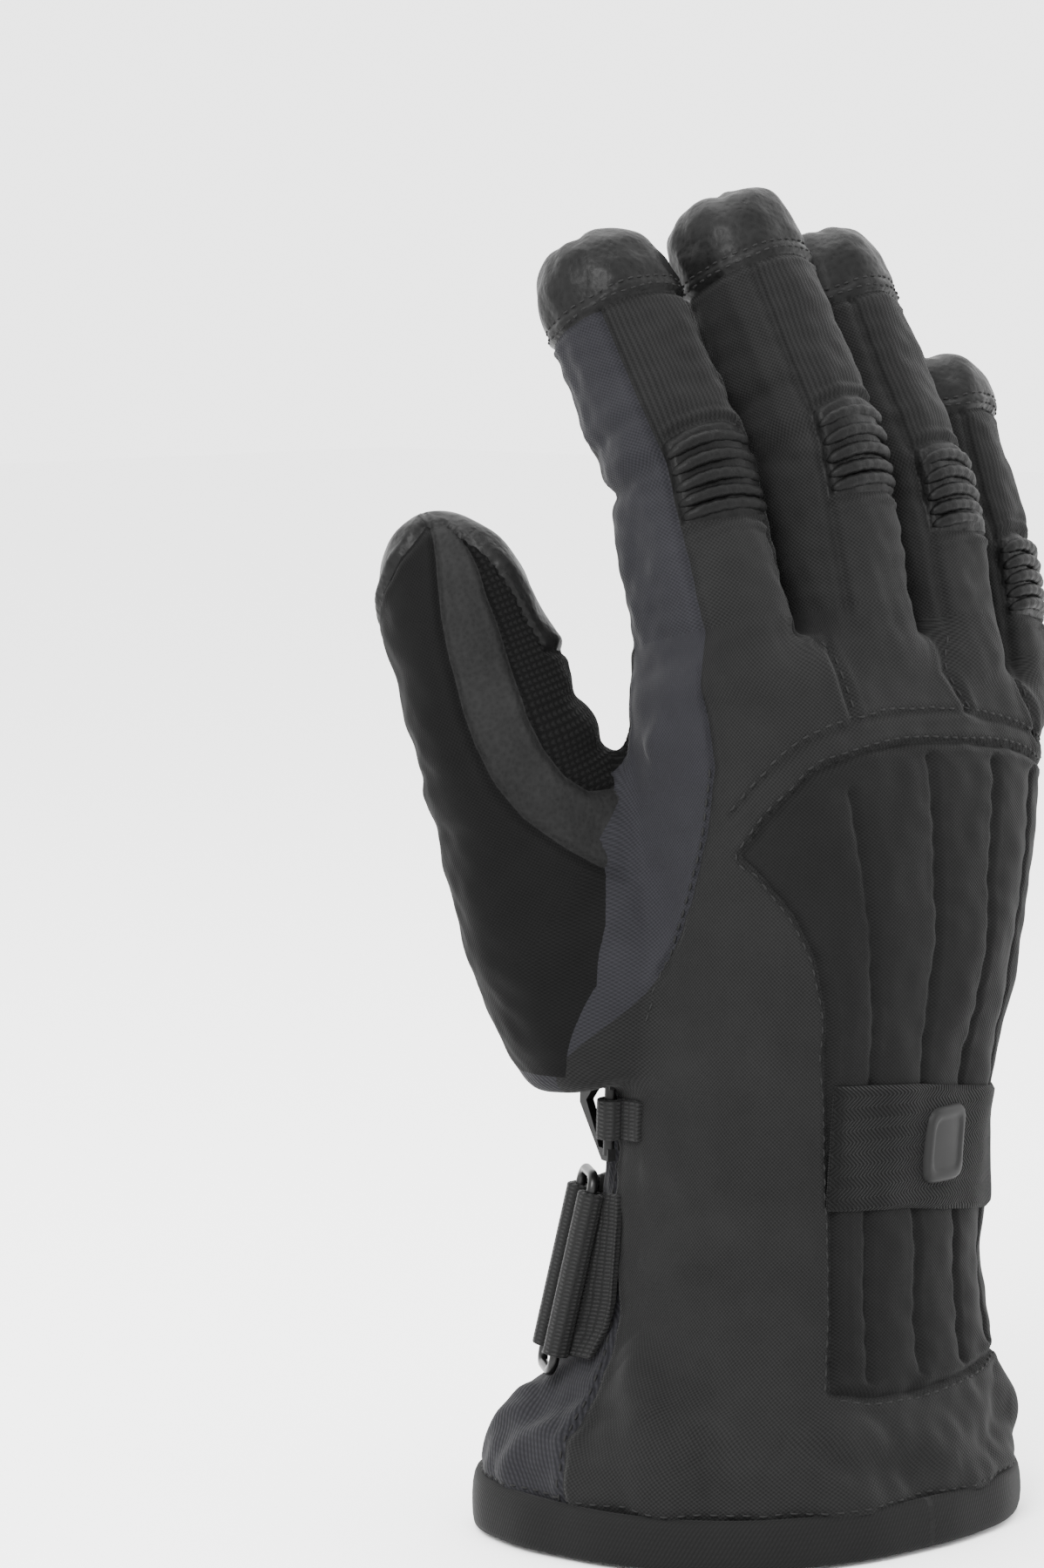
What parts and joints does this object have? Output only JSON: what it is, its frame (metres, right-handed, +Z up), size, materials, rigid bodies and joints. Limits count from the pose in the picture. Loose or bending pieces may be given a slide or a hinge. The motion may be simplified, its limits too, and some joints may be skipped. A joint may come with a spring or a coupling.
{
  "type": "ski glove",
  "caption": "Padded gauntlet ski glove for the right hand, with ribbed knuckles, leather palm, a cinch strap through a wire slider, a keeper clip and a hemmed cuff.",
  "frame": {"origin": "on the ground under the middle of the bounding box of the glove standing on its hem", "axes": "+Z up along the hand towards the fingertips, +Y out of the palm, -Y out of the back of the hand, -X towards the thumb"},
  "size_m": [0.1554, 0.1036, 0.2836],
  "materials": {
    "shell_fabric": "woven, matt",
    "side_fabric": "softshell, slightly blue grey",
    "insert_fabric": "quilted, matt",
    "leather": "grained, satin",
    "rib_pad": "padded, semi-gloss",
    "grip_fabric": "coarse knit",
    "lining": "brushed pile",
    "binding": "rolled tape",
    "webbing": "ribbed weave",
    "badge_rubber": "moulded, satin",
    "wire": "dark satin",
    "clip_plastic": "moulded, satin"
  },
  "bodies": {
    "cuff": {"cuff_back": "shell_fabric", "cuff_gusset": "side_fabric", "insert_lower": "insert_fabric", "hem_binding": "binding", "cuff_liner": "lining", "back_band": "webbing", "badge": "badge_rubber", "webbing_tabs": "webbing", "strap_under": "webbing"},
    "slider_ring": {"slider_ring": "wire"},
    "strap_tail": {"strap_tail": "webbing"},
    "clip": {"clip_hook": "clip_plastic"},
    "hand": {"back_yoke": "shell_fabric", "insert_upper": "insert_fabric", "thumb_side_panel": "side_fabric", "palm_leather": "leather", "palm_grip": "grip_fabric", "hand_liner": "lining"},
    "thumb_lower": {"thumb_lower_shell": "insert_fabric", "thumb_strip": "leather", "thumb_lower_liner": "lining"},
    "thumb_tip": {"thumb_upper_shell": "insert_fabric", "thumb_cap": "leather", "thumb_upper_liner": "lining"},
    "index_lower": {"index_lower_back": "shell_fabric", "index_lower_palm": "leather", "index_lower_sides": "shell_fabric", "index_lower_liner": "lining", "index_ribs": "rib_pad"},
    "index_upper": {"index_upper_back": "shell_fabric", "index_upper_sides": "shell_fabric", "index_upper_leather": "leather", "index_upper_liner": "lining"},
    "middle_lower": {"middle_lower_back": "shell_fabric", "middle_lower_palm": "leather", "middle_lower_sides": "shell_fabric", "middle_lower_liner": "lining", "middle_ribs": "rib_pad"},
    "middle_upper": {"middle_upper_back": "shell_fabric", "middle_upper_sides": "shell_fabric", "middle_upper_leather": "leather", "middle_upper_liner": "lining"},
    "ring_lower": {"ring_lower_back": "shell_fabric", "ring_lower_palm": "leather", "ring_lower_sides": "shell_fabric", "ring_lower_liner": "lining", "ring_ribs": "rib_pad"},
    "ring_upper": {"ring_upper_back": "shell_fabric", "ring_upper_sides": "shell_fabric", "ring_upper_leather": "leather", "ring_upper_liner": "lining"},
    "little_lower": {"little_lower_back": "shell_fabric", "little_lower_palm": "leather", "little_lower_sides": "shell_fabric", "little_lower_liner": "lining", "little_ribs": "rib_pad"},
    "little_upper": {"little_upper_back": "shell_fabric", "little_upper_sides": "shell_fabric", "little_upper_leather": "leather", "little_upper_liner": "lining"}
  },
  "joints": [
    {"name": "wrist_flex", "type": "hinge", "parent": "cuff", "child": "hand", "pos_m": [0.01408, -0.01, 0.112], "axis": [-1, 0, 0], "range_deg": [-25, 30], "stiffness_Nm_per_rad": 1.5},
    {"name": "index_base_flex", "type": "hinge", "parent": "hand", "child": "index_lower", "pos_m": [-0.02167, -0.0105, 0.191], "axis": [-0.9998, 0, -0.0175], "range_deg": [-8, 52], "stiffness_Nm_per_rad": 0.3},
    {"name": "index_rib_flex", "type": "hinge", "parent": "index_lower", "child": "index_upper", "pos_m": [-0.02225, -0.00228, 0.22398], "axis": [-0.9998, 0, -0.0175], "range_deg": [-8, 60], "stiffness_Nm_per_rad": 0.2},
    {"name": "middle_base_flex", "type": "hinge", "parent": "hand", "child": "middle_lower", "pos_m": [0.00833, -0.0195, 0.195], "axis": [-1, 0, -0.0087], "range_deg": [-8, 52], "stiffness_Nm_per_rad": 0.3},
    {"name": "middle_rib_flex", "type": "hinge", "parent": "middle_lower", "child": "middle_upper", "pos_m": [0.00803, -0.01222, 0.22923], "axis": [-1, 0, -0.0087], "range_deg": [-8, 60], "stiffness_Nm_per_rad": 0.2},
    {"name": "ring_base_flex", "type": "hinge", "parent": "hand", "child": "ring_lower", "pos_m": [0.03703, -0.0203, 0.19], "axis": [-0.9993, 0, 0.0384], "range_deg": [-8, 52], "stiffness_Nm_per_rad": 0.3},
    {"name": "ring_rib_flex", "type": "hinge", "parent": "ring_lower", "child": "ring_upper", "pos_m": [0.03814, -0.01253, 0.21896], "axis": [-0.9993, 0, 0.0384], "range_deg": [-5, 60], "stiffness_Nm_per_rad": 0.2},
    {"name": "little_base_flex", "type": "hinge", "parent": "hand", "child": "little_lower", "pos_m": [0.06253, -0.016, 0.18], "axis": [-0.9969, 0, 0.0785], "range_deg": [-8, 45], "stiffness_Nm_per_rad": 0.3},
    {"name": "little_rib_flex", "type": "hinge", "parent": "little_lower", "child": "little_upper", "pos_m": [0.06413, -0.01128, 0.2004], "axis": [-0.9969, 0, 0.0785], "range_deg": [-1, 60], "stiffness_Nm_per_rad": 0.2},
    {"name": "thumb_base_flex", "type": "hinge", "parent": "hand", "child": "thumb_lower", "pos_m": [-0.03767, 0.012, 0.125], "axis": [-0.7889, 0.5228, -0.323], "range_deg": [-14, 0], "stiffness_Nm_per_rad": 0.4},
    {"name": "thumb_tip_flex", "type": "hinge", "parent": "thumb_lower", "child": "thumb_tip", "pos_m": [-0.05234, 0.01906, 0.17227], "axis": [-0.7889, 0.5228, -0.323], "range_deg": [-6, 5], "stiffness_Nm_per_rad": 0.2},
    {"name": "ring_swing", "type": "hinge", "parent": "cuff", "child": "slider_ring", "pos_m": [-0.03622, 0.01285, 0.05577], "axis": [0.1442, -0.1572, 0.977], "range_deg": [0, 35]},
    {"name": "strap_peel", "type": "hinge", "parent": "slider_ring", "child": "strap_tail", "pos_m": [-0.02898, 0.02241, 0.05623], "axis": [0.1442, -0.1572, 0.977], "range_deg": [0, 140]},
    {"name": "clip_swivel", "type": "hinge", "parent": "cuff", "child": "clip", "pos_m": [-0.03482, 0.00374, 0.09], "axis": [-0.0294, -0.0641, 0.9975], "range_deg": [0, 75]}
  ]
}
